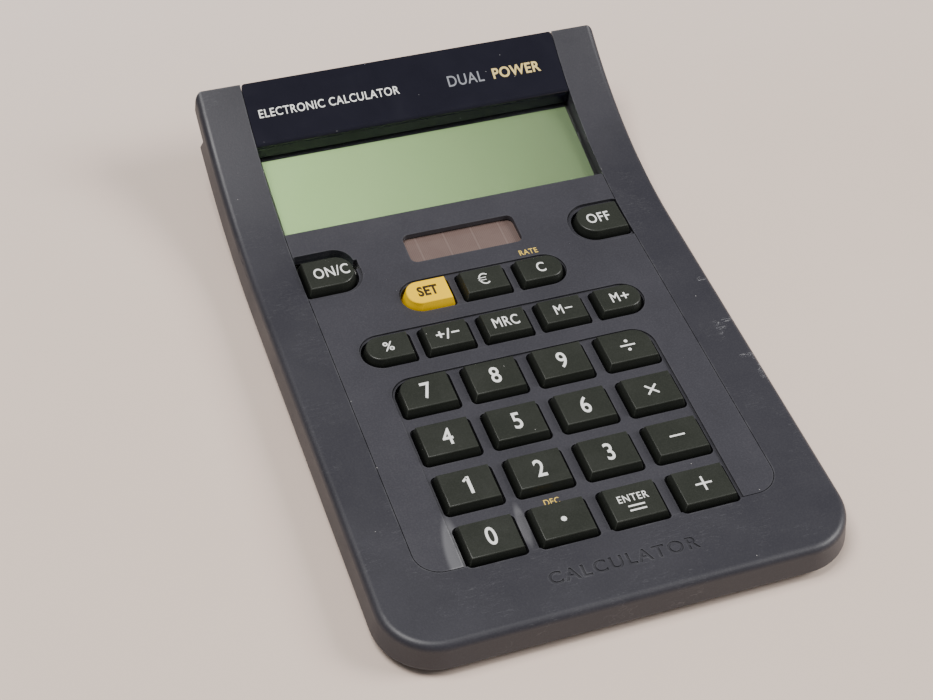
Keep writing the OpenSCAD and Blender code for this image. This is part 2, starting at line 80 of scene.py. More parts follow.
def maths(tree, operation, first, second=0.0, third=0.0, clamp=False):
    node = addNode(tree, "ShaderNodeMath", {0: first, 1: second, 2: third},
                   operation=operation, use_clamp=clamp)
    return node.outputs[0]


def blendColours(tree, amount, first, second, mode="MIX"):
    node = addNode(tree, "ShaderNodeMix", data_type="RGBA", blend_type=mode)
    for socket, value in ((node.inputs[0], amount), (node.inputs[6], first), (node.inputs[7], second)):
        if isinstance(value, bpy.types.NodeSocket):
            tree.links.new(value, socket)
        else:
            socket.default_value = value
    return node.outputs[2]


def spread(tree, value, low, high, toLow, toHigh, smooth=False):
    node = addNode(tree, "ShaderNodeMapRange", {0: value, 1: low, 2: high, 3: toLow, 4: toHigh})
    if smooth:
        node.interpolation_type = "SMOOTHSTEP"
    return node.outputs[0]


def newGroup(name, inputs, outputs):
    group = bpy.data.node_groups.new(name, "ShaderNodeTree")
    for label, kind, value in inputs:
        socket = group.interface.new_socket(name=label, in_out="INPUT", socket_type=kind)
        if value is not None:
            socket.default_value = value
    for label, kind in outputs:
        group.interface.new_socket(name=label, in_out="OUTPUT", socket_type=kind)
    return group, group.nodes.new("NodeGroupInput"), group.nodes.new("NodeGroupOutput")


def useGroup(tree, group, values):
    node = tree.nodes.new("ShaderNodeGroup")
    node.node_tree = group
    for socket, value in values.items():
        if isinstance(value, bpy.types.NodeSocket):
            tree.links.new(value, node.inputs[socket])
        else:
            node.inputs[socket].default_value = value
    return node


def makeMouldGrain():
    # Spark-eroded texture of moulded plastic: fine pits, and slow changes in tone
    group, start, end = newGroup(
        "mouldGrain",
        [("Grain size", "NodeSocketFloat", 0.3), ("Patch size", "NodeSocketFloat", 20.0)],
        [("Height", "NodeSocketFloat"), ("Patches", "NodeSocketFloat")])
    place = group.nodes.new("ShaderNodeTexCoord").outputs["Object"]
    fineScale = maths(group, "DIVIDE", 1000.0, start.outputs["Grain size"])
    slowScale = maths(group, "DIVIDE", 1000.0, start.outputs["Patch size"])
    pits = addNode(group, "ShaderNodeTexNoise",
                   {"Vector": place, "Scale": fineScale, "Detail": 2.0, "Roughness": 0.6})
    cells = addNode(group, "ShaderNodeTexVoronoi", {"Vector": place, "Scale": fineScale},
                    feature="SMOOTH_F1")
    patches = addNode(group, "ShaderNodeTexNoise",
                      {"Vector": place, "Scale": slowScale, "Detail": 4.0, "Roughness": 0.55,
                       "Distortion": 0.4})
    height = maths(group, "MULTIPLY_ADD", cells.outputs["Distance"], 0.5, pits.outputs["Fac"])
    group.links.new(height, end.inputs["Height"])
    group.links.new(patches.outputs["Fac"], end.inputs["Patches"])
    return group


def makeEdgeWearAndHighlight():
    # Edge wear and painted edge highlight: handling polishes the edges, and their lighter colour also stands
    # in for light caught on the rounds; the mask is high where the rounded normal leaves the flat one
    group, start, end = newGroup(
        "edgeWear",
        [("Reach", "NodeSocketFloat", 0.0006), ("Amount", "NodeSocketFloat", 1.0)],
        [("Wear", "NodeSocketFloat")])
    place = group.nodes.new("ShaderNodeTexCoord").outputs["Object"]
    rounded = addNode(group, "ShaderNodeBevel", {"Radius": start.outputs["Reach"]}, samples=6)
    flat = group.nodes.new("ShaderNodeNewGeometry").outputs["Normal"]
    match = addNode(group, "ShaderNodeVectorMath", {0: rounded.outputs[0], 1: flat}, operation="DOT_PRODUCT")
    edge = spread(group, match.outputs["Value"], 0.999, 0.90, 0.0, 1.0)
    rubs = addNode(group, "ShaderNodeTexNoise",
                   {"Vector": place, "Scale": 260.0, "Detail": 5.0, "Roughness": 0.7})
    broken = spread(group, rubs.outputs["Fac"], 0.40, 0.62, 0.0, 1.0)
    worn = maths(group, "MULTIPLY", edge, broken)
    worn = maths(group, "MULTIPLY", worn, start.outputs["Amount"], clamp=True)
    group.links.new(worn, end.inputs["Wear"])
    return group


def makeDust():
    # Pale specks of lint and dust, a few to the square centimetre
    group, start, end = newGroup(
        "dust",
        [("Spacing", "NodeSocketFloat", 2.0), ("Speck size", "NodeSocketFloat", 0.10),
         ("Share", "NodeSocketFloat", 0.25)],
        [("Specks", "NodeSocketFloat")])
    place = group.nodes.new("ShaderNodeTexCoord").outputs["Object"]
    scale = maths(group, "DIVIDE", 1000.0, start.outputs["Spacing"])
    cells = addNode(group, "ShaderNodeTexVoronoi", {"Vector": place, "Scale": scale})
    speck = maths(group, "LESS_THAN", cells.outputs["Distance"],
                  maths(group, "DIVIDE", start.outputs["Speck size"], start.outputs["Spacing"]))
    pick = addNode(group, "ShaderNodeSeparateColor", {0: cells.outputs["Color"]})
    chosen = maths(group, "LESS_THAN", pick.outputs[0], start.outputs["Share"])
    group.links.new(maths(group, "MULTIPLY", speck, chosen), end.inputs["Specks"])
    return group


def makeScratches():
    # Hair-fine scratches in two directions, broken up into short strokes
    group, start, end = newGroup(
        "scratches",
        [("Density", "NodeSocketFloat", 0.5)],
        [("Marks", "NodeSocketFloat")])
    place = group.nodes.new("ShaderNodeTexCoord").outputs["Object"]
    marks = 0.0
    for turn, stretch in ((0.5, 14.0), (2.3, 10.0)):
        turned = addNode(group, "ShaderNodeMapping", {"Vector": place, "Rotation": (0, 0, turn),
                                                      "Scale": (60.0, 60.0 * stretch, 60.0)})
        lines = addNode(group, "ShaderNodeTexNoise",
                        {"Vector": turned.outputs[0], "Scale": 2.2, "Detail": 2.0})
        line = spread(group, maths(group, "ABSOLUTE", maths(group, "SUBTRACT", lines.outputs["Fac"], 0.5)),
                      0.0, 0.006, 1.0, 0.0)
        marks = maths(group, "ADD", line, marks)
    where = addNode(group, "ShaderNodeTexNoise", {"Vector": place, "Scale": 90.0, "Detail": 3.0})
    limit = maths(group, "SUBTRACT", 1.0, maths(group, "MULTIPLY", start.outputs["Density"], 0.5))
    patch = maths(group, "GREATER_THAN", where.outputs["Fac"], limit)
    group.links.new(maths(group, "MULTIPLY", marks, patch, clamp=True), end.inputs["Marks"])
    return group


def makeCreviceShade():
    # Painted shade in grooves and holes, found by ambient occlusion: 1 in the open, 0 deep inside
    group, start, end = newGroup(
        "crevices",
        [("Width", "NodeSocketFloat", 0.0012)],
        [("Open", "NodeSocketFloat")])
    corner = addNode(group, "ShaderNodeAmbientOcclusion", {"Distance": start.outputs["Width"]},
                     samples=6)
    group.links.new(spread(group, corner.outputs["AO"], 0.25, 0.85, 0.0, 1.0), end.inputs["Open"])
    return group


def makeSoftSpot():
    # One soft-edged oval patch in plan: 1 in its middle, 0 outside
    group, start, end = newGroup(
        "softSpot",
        [("Middle", "NodeSocketVector", None), ("Turn", "NodeSocketFloat", 0.0),
         ("Half length", "NodeSocketFloat", 0.01), ("Half width", "NodeSocketFloat", 0.002)],
        [("Spot", "NodeSocketFloat")])
    place = group.nodes.new("ShaderNodeTexCoord").outputs["Object"]
    away = addNode(group, "ShaderNodeVectorMath", {0: place, 1: start.outputs["Middle"]},
                   operation="SUBTRACT")
    turned = addNode(group, "ShaderNodeVectorRotate",
                     {"Vector": away.outputs[0], "Angle": start.outputs["Turn"]},
                     rotation_type="Z_AXIS")
    parts = addNode(group, "ShaderNodeSeparateXYZ", {0: turned.outputs[0]})
    along = maths(group, "DIVIDE", parts.outputs["X"], start.outputs["Half length"])
    across = maths(group, "DIVIDE", parts.outputs["Y"], start.outputs["Half width"])
    far = maths(group, "SQRT", maths(group, "ADD", maths(group, "MULTIPLY", along, along),
                                     maths(group, "MULTIPLY", across, across)))
    group.links.new(spread(group, far, 0.55, 1.0, 1.0, 0.0, smooth=True), end.inputs["Spot"])
    return group


mouldGrain = makeMouldGrain()
softSpot = makeSoftSpot()
crevices = makeCreviceShade()
edgeWear = makeEdgeWearAndHighlight()
dust = makeDust()
scratches = makeScratches()
print("shared effects made")


def newFinish(name, **sockets):
    finish = bpy.data.materials.new(name)
    finish.use_nodes = True
    shader = finish.node_tree.nodes["Principled BSDF"]
    for socket, value in sockets.items():
        shader.inputs[socket.replace("_", " ")].default_value = value
    return finish, finish.node_tree, shader


dustColour = (0.6, 0.58, 0.55, 1)
shadeColour = (0.004, 0.004, 0.005, 1)


def mouldedPlastic(name, look):
    # Grained plastic with polished edges that also carry a painted edge highlight, scratches, dust, painted
    # shade in grooves, and rubbed patches with a painted sheen.
    # Each spot: its middle in mm, its turn in degrees, half its length and width in mm, its strength
    finish, tree, shader = newFinish(name, Specular_IOR_Level=look.get("shine", 0.5))
    grain = useGroup(tree, mouldGrain, {"Grain size": look["grain"], "Patch size": look.get("patch", 18.0)})
    worn = useGroup(tree, edgeWear, {"Reach": look.get("reach", 0.0006), "Amount": look.get("wear", 0.5)})
    specks = useGroup(tree, dust, {"Spacing": 2.6, "Speck size": 0.09, "Share": look["dust"]})
    marks = useGroup(tree, scratches, {"Density": look.get("scratch", 0.5)})
    colour = blendColours(tree, grain.outputs["Patches"], look["dark"] + (1,), look["light"] + (1,))
    fleck = spread(tree, grain.outputs["Height"], 0.60, 1.10, 0.0, look.get("fleck", 0.07))
    colour = blendColours(tree, fleck, colour, look["worn"] + (1,))
    rubbed = 0.0
    for middle, turn, halfLength, halfWidth, strength in look.get("spots", ()):
        spot = useGroup(tree, softSpot, {
            "Middle": (middle[0] * mm, middle[1] * mm, 0), "Turn": math.radians(turn),
            "Half length": halfLength * mm, "Half width": halfWidth * mm})
        rubbed = maths(tree, "MULTIPLY_ADD", spot.outputs["Spot"], strength, rubbed, clamp=True)
    edges = maths(tree, "MULTIPLY_ADD", rubbed, 3.0, 0.5)
    # Edge wear and painted edge highlight: the edge mask lightens the rounded edges
    wear = maths(tree, "MULTIPLY", worn.outputs["Wear"], edges, clamp=True)
    # Painted sheen: the rubbed patches are lightened towards the light tone
    wear = maths(tree, "MULTIPLY_ADD", rubbed, look.get("rubTone", 0.0), wear, clamp=True)
    colour = blendColours(tree, wear, colour, look["worn"] + (1,))
    tone = maths(tree, "MULTIPLY_ADD", rubbed, look.get("rubMarks", 0.0), 0.12)
    colour = blendColours(tree, maths(tree, "MULTIPLY", marks.outputs["Marks"], tone, clamp=True),
                          colour, look["worn"] + (1,))
    colour = blendColours(tree, maths(tree, "MULTIPLY", specks.outputs["Specks"], 0.7),
                          colour, dustColour)
    # Painted shade: grooves and holes are darkened towards the shade colour
    groove = useGroup(tree, crevices, {"Width": look.get("groove", 0.0012)})
    grime = blendColours(tree, look.get("grime", 0.75), colour, shadeColour)
    colour = blendColours(tree, groove.outputs["Open"], grime, colour)
    tree.links.new(colour, shader.inputs["Base Color"])
    rough = spread(tree, grain.outputs["Patches"], 0.3, 0.7, look["rough"] - 0.05, look["rough"] + 0.05)
    rough = maths(tree, "MULTIPLY_ADD", worn.outputs["Wear"], -look.get("polish", 0.18), rough)
    rough = maths(tree, "MULTIPLY_ADD", rubbed, -look.get("rubPolish", 0.0), rough)
    rough = maths(tree, "MULTIPLY_ADD", specks.outputs["Specks"], 0.4, rough, clamp=True)
    tree.links.new(rough, shader.inputs["Roughness"])
    bump = addNode(tree, "ShaderNodeBump", {
        "Height": grain.outputs["Height"], "Strength": look.get("bump", 0.35),
        "Distance": look["grain"] * 0.12 * mm})
    tree.links.new(bump.outputs[0], shader.inputs["Normal"])
    return finish


casePlastic = mouldedPlastic("casePlastic", {
    "dark": (0.0195, 0.0190, 0.0258), "light": (0.0270, 0.0260, 0.0345),
    "worn": (0.30, 0.30, 0.31), "fleck": 0.035, "scratch": 0.9,
    "rough": 0.45, "grain": 0.34, "wear": 0.35, "dust": 0.10,
    "spots": [((47.5, -16.0), 90, 22.0, 3.4, 1.0), ((47.0, 12.0), 90, 9.0, 2.6, 0.6)],
    "rubMarks": 2.0})
panelPlastic = mouldedPlastic("panelPlastic", {
    "dark": (0.0255, 0.0248, 0.0322), "light": (0.0350, 0.0337, 0.0432), "worn": (0.22, 0.22, 0.23),
    "rough": 0.47, "grain": 0.34, "wear": 0.25, "dust": 0.14, "grime": 0.9,
    "spots": [((-30.7, -54.5), -82, 9.5, 2.3, 1.0), ((-15.3, -52.5), -88, 6.5, 1.3, 0.8)],
    "rubTone": 0.50, "rubPolish": 0.26})
floorPlastic = mouldedPlastic("floorPlastic", {
    "dark": (0.018, 0.017, 0.018), "light": (0.026, 0.024, 0.024), "worn": (0.10, 0.10, 0.10),
    "rough": 0.52, "grain": 0.40, "wear": 0.3, "dust": 0.1})
keyPlastic = mouldedPlastic("keyPlastic", {
    "dark": (0.0130, 0.0150, 0.0108), "light": (0.0200, 0.0228, 0.0168), "worn": (0.19, 0.20, 0.17),
    "groove": 0.0035, "grime": 0.92, "rough": 0.36, "grain": 0.22, "bump": 0.25,
    "wear": 0.6, "reach": 0.0004, "polish": 0.12, "dust": 0.14, "patch": 9.0})
setPlastic = mouldedPlastic("setPlastic", {
    "dark": (0.98, 0.58, 0.001), "light": (1.0, 0.65, 0.002), "worn": (1.0, 0.74, 0.05), "fleck": 0.0,
    "grime": 0.25, "shine": 0.12, "rough": 0.55, "grain": 0.22, "bump": 0.22,
    "wear": 0.5, "reach": 0.0004, "dust": 0.05, "patch": 6.0})
print("plastics mixed")


def ink(name, colour, rough=0.45):
    # Printed ink is a little uneven and takes small nicks
    finish, tree, shader = newFinish(name, Roughness=rough)
    grain = useGroup(tree, mouldGrain, {"Grain size": 0.25, "Patch size": 1.6})
    faded = tuple(part * 0.90 for part in colour)
    nick = spread(tree, grain.outputs["Patches"], 0.35, 0.65, 0.0, 1.0)
    tree.links.new(blendColours(tree, nick, faded + (1,), colour + (1,)), shader.inputs["Base Color"])
    return finish


whiteInk = ink("whiteInk", (0.93, 0.94, 0.90))
brownInk = ink("brownInk", (0.030, 0.016, 0.006))
yellowInk = ink("yellowInk", (0.80, 0.56, 0.10))
greyInk = ink("greyInk", (0.26, 0.27, 0.30))
goldInk = ink("goldInk", (0.80, 0.62, 0.24))


def glossyBandFinish():
    finish, tree, shader = newFinish("bandGloss", Specular_IOR_Level=0.4)
    smears = useGroup(tree, mouldGrain, {"Grain size": 1.2, "Patch size": 9.0})
    specks = useGroup(tree, dust, {"Spacing": 2.2, "Speck size": 0.10, "Share": 0.2})
    colour = blendColours(tree, smears.outputs["Patches"],
                          (0.0070, 0.0068, 0.0125, 1), (0.0125, 0.0122, 0.0205, 1))
    colour = blendColours(tree, maths(tree, "MULTIPLY", specks.outputs["Specks"], 0.5),
                          colour, (0.5, 0.5, 0.5, 1))
    tree.links.new(colour, shader.inputs["Base Color"])
    rough = spread(tree, smears.outputs["Patches"], 0.35, 0.7, 0.07, 0.16)
    tree.links.new(rough, shader.inputs["Roughness"])
    return finish


bandGloss = glossyBandFinish()


def clearLensFinish():
    # Clear acrylic that lets light through to the display without a dark shadow
    finish, tree, shader = newFinish("clearLens", IOR=1.49, Transmission_Weight=1.0,
                                     Base_Color=(0.95, 0.97, 0.95, 1))
    smears = useGroup(tree, mouldGrain, {"Grain size": 1.0, "Patch size": 12.0})
    rough = spread(tree, smears.outputs["Patches"], 0.3, 0.7, 0.02, 0.07)
    tree.links.new(rough, shader.inputs["Roughness"])
    ray = tree.nodes.new("ShaderNodeLightPath")
    clear = addNode(tree, "ShaderNodeBsdfTransparent", {"Color": (0.93, 0.95, 0.92, 1)})
    through = maths(tree, "MAXIMUM", ray.outputs["Is Shadow Ray"], ray.outputs["Is Diffuse Ray"])
    # The thin edge faces only let light pass, so they don't glare inside the recess
    edgeSlope = 0.5
    normal = tree.nodes.new("ShaderNodeNewGeometry").outputs["Normal"]
    facing = addNode(tree, "ShaderNodeSeparateXYZ", {0: normal}).outputs["Z"]
    edge = maths(tree, "LESS_THAN", maths(tree, "ABSOLUTE", facing), edgeSlope)
    through = maths(tree, "MAXIMUM", through, edge)
    mixed = addNode(tree, "ShaderNodeMixShader", {0: through, 1: shader.outputs[0], 2: clear.outputs[0]})
    tree.links.new(mixed.outputs[0], tree.nodes["Material Output"].inputs["Surface"])
    return finish


clearLens = clearLensFinish()
# Width of the painted shade strip along the display's rear edge
lipShadeShown = 0.55 * mm


def displayFinish():
    # Pale grey-green liquid crystal, with painted shade making it darker towards its right end
    finish, tree, shader = newFinish("liquidCrystal", Specular_IOR_Level=0.4,
                                     Coat_Weight=0.3, Coat_Roughness=0.08)
    cloud = useGroup(tree, mouldGrain, {"Grain size": 0.5, "Patch size": 30.0})
    colour = blendColours(tree, cloud.outputs["Patches"], (0.41, 0.60, 0.26, 1), (0.45, 0.65, 0.30, 1))
    place = tree.nodes.new("ShaderNodeTexCoord").outputs["Object"]
    parts = addNode(tree, "ShaderNodeSeparateXYZ", {0: place})
    # Painted shade: darker towards the right end
    paintedShadeRight = spread(tree, parts.outputs["X"], -36 * mm, 34 * mm, 0.0, 1.0)
    colour = blendColours(tree, paintedShadeRight, colour, (0.165, 0.232, 0.112, 1))
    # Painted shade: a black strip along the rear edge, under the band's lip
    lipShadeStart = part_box("display_band")[0][1] - lipShadeShown
    underLipShade = maths(tree, "GREATER_THAN", parts.outputs["Y"], lipShadeStart)
    colour = blendColours(tree, underLipShade, colour, (0.006, 0.006, 0.008, 1))
    tree.links.new(colour, shader.inputs["Base Color"])
    rough = spread(tree, cloud.outputs["Patches"], 0.3, 0.7, 0.28, 0.36)
    tree.links.new(rough, shader.inputs["Roughness"])
    return finish


liquidCrystal = displayFinish()


def solarFinish(look):
    # Brown amorphous cell behind glass, with fine comb lines and the gaps between its strips
    finish, tree, shader = newFinish("solarGlass", Coat_Weight=0.6, Coat_Roughness=0.06)
    place = tree.nodes.new("ShaderNodeTexCoord").outputs["Object"]
    across = addNode(tree, "ShaderNodeSeparateXYZ", {0: place}).outputs["X"]
    comb = maths(tree, "FRACT", maths(tree, "MULTIPLY", across, 1 / look["comb"]))
    line = spread(tree, maths(tree, "ABSOLUTE", maths(tree, "SUBTRACT", comb, 0.5)), 0.30, 0.42, 0.0, 1.0)
    strip = maths(tree, "FRACT", maths(tree, "MULTIPLY", across, 1 / look["strip"]))
    offMiddle = maths(tree, "ABSOLUTE", maths(tree, "SUBTRACT", strip, 0.5))
    gap = maths(tree, "LESS_THAN", offMiddle, look["gapShare"])
    cloud = useGroup(tree, mouldGrain, {"Grain size": 0.3, "Patch size": 6.0})
    colour = blendColours(tree, cloud.outputs["Patches"], (0.135, 0.092, 0.082, 1), (0.185, 0.132, 0.115, 1))
    colour = blendColours(tree, maths(tree, "MULTIPLY", line, 0.45), colour, (0.08, 0.052, 0.048, 1))
    colour = blendColours(tree, maths(tree, "MULTIPLY", gap, 0.35), colour, (0.26, 0.20, 0.18, 1))
    tree.links.new(colour, shader.inputs["Base Color"])
    rough = spread(tree, cloud.outputs["Patches"], 0.3, 0.7, 0.22, 0.34)
    tree.links.new(rough, shader.inputs["Roughness"])
    return finish


solarGlass = solarFinish({"comb": 0.42 * mm, "strip": 6.7 * mm, "gapShare": 0.018})
print("display and solar finishes mixed")


def plainFinish(name, dark, light, rough, metallic=0.0, grain=0.4, bump=0.2, patch=5.0):
    finish, tree, shader = newFinish(name, Metallic=metallic)
    texture = useGroup(tree, mouldGrain, {"Grain size": grain, "Patch size": patch})
    tree.links.new(blendColours(tree, texture.outputs["Patches"], dark + (1,), light + (1,)),
                   shader.inputs["Base Color"])
    tree.links.new(spread(tree, texture.outputs["Patches"], 0.3, 0.7, rough - 0.06, rough + 0.06),
                   shader.inputs["Roughness"])
    relief = addNode(tree, "ShaderNodeBump", {"Height": texture.outputs["Height"], "Strength": bump,
                                              "Distance": grain * 0.1 * mm})
    tree.links.new(relief.outputs[0], shader.inputs["Normal"])
    return finish


steelTones = (0.36, 0.36, 0.35), (0.52, 0.52, 0.51)
bronzeTones = (0.50, 0.44, 0.30), (0.62, 0.55, 0.40)
innerFinishes = {
    "rubber_feet": plainFinish("footRubber", (0.012, 0.012, 0.013), (0.025, 0.025, 0.027), 0.75, bump=0.5),
    "case_screws": plainFinish("screwSteel", *steelTones, 0.32, metallic=1.0),
    "board_screws": plainFinish("boardScrewSteel", *steelTones, 0.32, metallic=1.0),
    "lcd_reflector": plainFinish("reflectorFilm", (0.50, 0.53, 0.47), (0.60, 0.63, 0.57), 0.42,
                                 metallic=0.6),
    "lcd_holder": plainFinish("holderPlastic", (0.56, 0.56, 0.53), (0.66, 0.66, 0.63), 0.5),
    "display_flex": plainFinish("flexFilm", (0.40, 0.20, 0.05), (0.50, 0.27, 0.08), 0.25),
    "main_board": plainFinish("boardLacquer", (0.02, 0.11, 0.045), (0.03, 0.15, 0.06), 0.32, patch=2.5),
    "chip_cover": plainFinish("chipResin", (0.010, 0.010, 0.010), (0.022, 0.022, 0.022), 0.22, patch=3.0),
    "keypad_mat": plainFinish("matSilicone", (0.56, 0.56, 0.53), (0.66, 0.66, 0.63), 0.55),
    "contact_pills": plainFinish("pillCarbon", (0.012, 0.012, 0.012), (0.024, 0.024, 0.024), 0.6),
    "solar_leads": plainFinish("leadCopper", (0.52, 0.26, 0.13), (0.66, 0.36, 0.20), 0.3, metallic=1.0),
    "button_cell": plainFinish("cellSteel", (0.50, 0.51, 0.52), (0.62, 0.63, 0.64), 0.25, metallic=1.0),
    "cell_contact_plus": plainFinish("contactBronze", *bronzeTones, 0.3, metallic=1.0),
    "cell_contact_minus": plainFinish("springBronze", *bronzeTones, 0.3, metallic=1.0),
}


def paint(piece, finish):
    piece.data.materials.clear()
    piece.data.materials.append(finish)


for nodeName, finish in innerFinishes.items():
    paint(nodes[nodeName], finish)
print("inner pieces finished")


# Shells and keys: the same shapes as their nodes, with joined faces and smooth rounds

def joinedForm(nodeName):
    form = bmesh.new()
    form.from_mesh(nodes[nodeName].data)
    bmesh.ops.remove_doubles(form, verts=form.verts, dist=0.002 * mm)
    bmesh.ops.dissolve_limit(form, angle_limit=math.radians(0.002), verts=form.verts, edges=form.edges)
    return form


def markCreases(form, crease):
    for face in form.faces:
        face.smooth = True
    for edge in form.edges:
        edge.smooth = len(edge.link_faces) == 2 and edge.calc_face_angle(0) < math.radians(crease)


def pieceFrom(form, name, finish, body):
    mesh = bpy.data.meshes.new(name)
    form.to_mesh(mesh)
    form.free()
    piece = bpy.data.objects.new(name, mesh)
    scene.collection.objects.link(piece)
    paint(piece, finish)
    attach(piece, body)
    return piece


def evenShading(piece):
    even = piece.modifiers.new("evenShading", "WEIGHTED_NORMAL")
    even.keep_sharp = True
    even.weight = 80


def smoothPiece(nodeName, finish, crease=32, body="casing", form=None):
    form = form or joinedForm(nodeName)
    markCreases(form, crease)
    piece = pieceFrom(form, nodeName.replace("_", "") + "Form", finish, body)
    evenShading(piece)
    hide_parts(nodeName)
    return piece


smoothPiece("lower_case", floorPlastic)
panel = smoothPiece("keypad_panel", panelPlastic)
band = smoothPiece("display_band", bandGloss)
smoothPiece("display_lens", clearLens)
smoothPiece("lcd_glass", liquidCrystal)
smoothPiece("solar_cell", solarGlass)
print("floor, panel and display shaped")

keyPieces = {}
for name in [name for name in nodes if name.startswith("key_")]:
    isSet = name == "key_set"
    keyPieces[name] = smoothPiece(name, setPlastic if isSet else keyPlastic,
                                  body=name)
print(len(keyPieces), "keys shaped")


# Lettering: flat letters with a little thickness, set on the faces they mark

letterLook = {"lift": 0.035 * mm, "depth": 0.06 * mm, "digit": 4.4 * mm}


def letterForm(text, weight, spacing=1.0, solid=False):
    curve = bpy.data.curves.new("letters", "FONT")
    curve.body = text
    curve.size = 1.0
    if solid:
        curve.extrude = 0.5
        curve.offset = weight
    else:
        curve.bevel_depth = weight
        curve.bevel_resolution = 0
    curve.space_character = spacing
    curve.resolution_u = 5
    holder = bpy.data.objects.new("letters", curve)
    scene.collection.objects.link(holder)
    bpy.context.view_layer.update()
    shape = bpy.data.meshes.new_from_object(holder.evaluated_get(bpy.context.evaluated_depsgraph_get()))
    bpy.data.objects.remove(holder)
    bpy.data.curves.remove(curve)
    form = bmesh.new()
    form.from_mesh(shape)
    bpy.data.meshes.remove(shape)
    bmesh.ops.remove_doubles(form, verts=form.verts, dist=1e-5)
    return form


def reach(form, axis):
    places = [vert.co[axis] for vert in form.verts]
    return min(places), max(places)


tallForm = letterForm("H", 0.0)
capHeight = reach(tallForm, 1)[1]
tallForm.free()


def letters(text, height, stretch=1.0, weight=0.02, spacing=1.0, depth=letterLook["depth"], solid=False):
    # Capitals come out at the asked height, and the word is centred on its own middle
    form = letterForm(text, weight, spacing, solid)
    factor = height / (capHeight + 2 * weight)
    left, right = reach(form, 0)
    low, high = reach(form, 2)
    flat = depth / max(high - low, 1e-6)
    bmesh.ops.translate(form, verts=form.verts, vec=(-(left + right) / 2, -capHeight / 2, -high))
    bmesh.ops.scale(form, verts=form.verts, vec=(factor * stretch, factor, flat))
    return form


def thicken(form, depth=letterLook["depth"]):
    # Gives a flat sign its thickness, downwards from z = 0
    bmesh.ops.recalc_face_normals(form, faces=form.faces)
    for face in form.faces:
        if face.normal.z < 0:
            face.normal_flip()
    risen = bmesh.ops.extrude_face_region(form, geom=form.faces[:])
    moved = [item for item in risen["geom"] if isinstance(item, bmesh.types.BMVert)]
    kept = [vert for vert in form.verts if vert not in set(moved)]
    bmesh.ops.translate(form, verts=kept, vec=(0, 0, -depth))
    bmesh.ops.recalc_face_normals(form, faces=form.faces)
    return form


def bars(sizes):
    # A sign made of bars and dots: (x, y, width, height, turn) each, or (x, y, radius) for a dot
    form = bmesh.new()
    for size in sizes:
        if len(size) == 3:
            x, y, radius = size
            bmesh.ops.create_circle(form, cap_ends=True, segments=28, radius=radius * mm,
                                    matrix=Matrix.Translation((x * mm, y * mm, 0)))
        else:
            x, y, width, height, turn = size
            spot = Matrix.Translation((x * mm, y * mm, 0)) @ Matrix.Rotation(math.radians(turn), 4, "Z")
            spot = spot @ Matrix.Diagonal((width * mm / 2, height * mm / 2, 1, 1))
            bmesh.ops.create_grid(form, x_segments=1, y_segments=1, size=1.0, matrix=spot)
    return form


def crossBars(length, stroke, turn=0, middle=(0, 0)):
    # Two crossed bars that share a middle square, so no faces overlap
    half = (length + stroke) / 4
    along = (length - stroke) / 2
    shapes = [(middle[0], middle[1], stroke, stroke, turn)]
    for quarter in range(4):
        angle = math.radians(turn + 90 * quarter)
        shapes.append((middle[0] + half * math.cos(angle), middle[1] + half * math.sin(angle),
                       along, stroke, turn + 90 * quarter))
    return shapes


def euroSign(height, stroke):
    # An open ring with two bars
    opening = 48
    form = bmesh.new()
    outer = height * mm / 2
    start = form.verts.new((outer, 0, 0))
    inner = form.verts.new((outer - stroke * mm, 0, 0))
    rim = form.edges.new((start, inner))
    bmesh.ops.rotate(form, verts=[start, inner], matrix=Matrix.Rotation(math.radians(opening), 3, "Z"))
    bmesh.ops.spin(form, geom=[start, inner, rim], angle=math.radians(360 - 2 * opening), steps=30,
                   axis=(0, 0, 1), cent=(0, 0, 0))
    bmesh.ops.scale(form, verts=form.verts, vec=(0.80, 1, 1))
    thicken(form)
    barsForm = thicken(bars([(-0.55, 0.38, 1.9, stroke * 0.55, 0), (-0.62, -0.34, 1.8, stroke * 0.55, 0)]))
    mesh = bpy.data.meshes.new("euroBars")
    barsForm.to_mesh(mesh)
    barsForm.free()
    form.from_mesh(mesh)
    bpy.data.meshes.remove(mesh)
    return form


def faceUnder(piece, x, y):
    # The point and the direction of the surface straight below (x, y)
    hit, point, normal, face = piece.ray_cast(Vector((x, y, 0.2)), Vector((0, 0, -1)))
    return point, normal


def setOn(form, piece, x, y, lift=letterLook["lift"]):
    point, normal = faceUnder(piece, x, y)
    lean = Vector((0, 0, 1)).rotation_difference(normal).to_matrix().to_4x4()
    spot = Matrix.Translation(point + normal * lift) @ lean
    bmesh.ops.transform(form, matrix=spot, verts=form.verts)
    return form


def drapeOn(form, piece, x, y, lift=letterLook["lift"]):
    # Like setOn, but the word follows a curved surface
    point, normal = faceUnder(piece, x, y)
    setOn(form, piece, x, y, lift=0.0)
    for vert in form.verts:
        rise = (vert.co - point).dot(normal)
        hit, spot, facing, face = piece.ray_cast(vert.co + normal * 5 * mm, -normal)
        vert.co = spot + facing * (lift + rise)
    return form


def markKey(name, form, shift=(0, 0), finish=whiteInk, suffix="Mark"):
    low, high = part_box(name)
    x = (low[0] + high[0]) / 2 + shift[0] * mm
    y = (low[1] + high[1]) / 2 + shift[1] * mm
    setOn(form, keyPieces[name], x, y)
    return pieceFrom(form, name.replace("_", "") + suffix, finish, name)


for digit in "023456789":
    markKey("key_" + digit, letters(digit, letterLook["digit"], stretch=0.76, weight=0.017))
markKey("key_1", thicken(bars([(0.25, 0, 0.68, 4.4, 0), (-0.36, 1.5, 1.2, 0.5, 40)])))

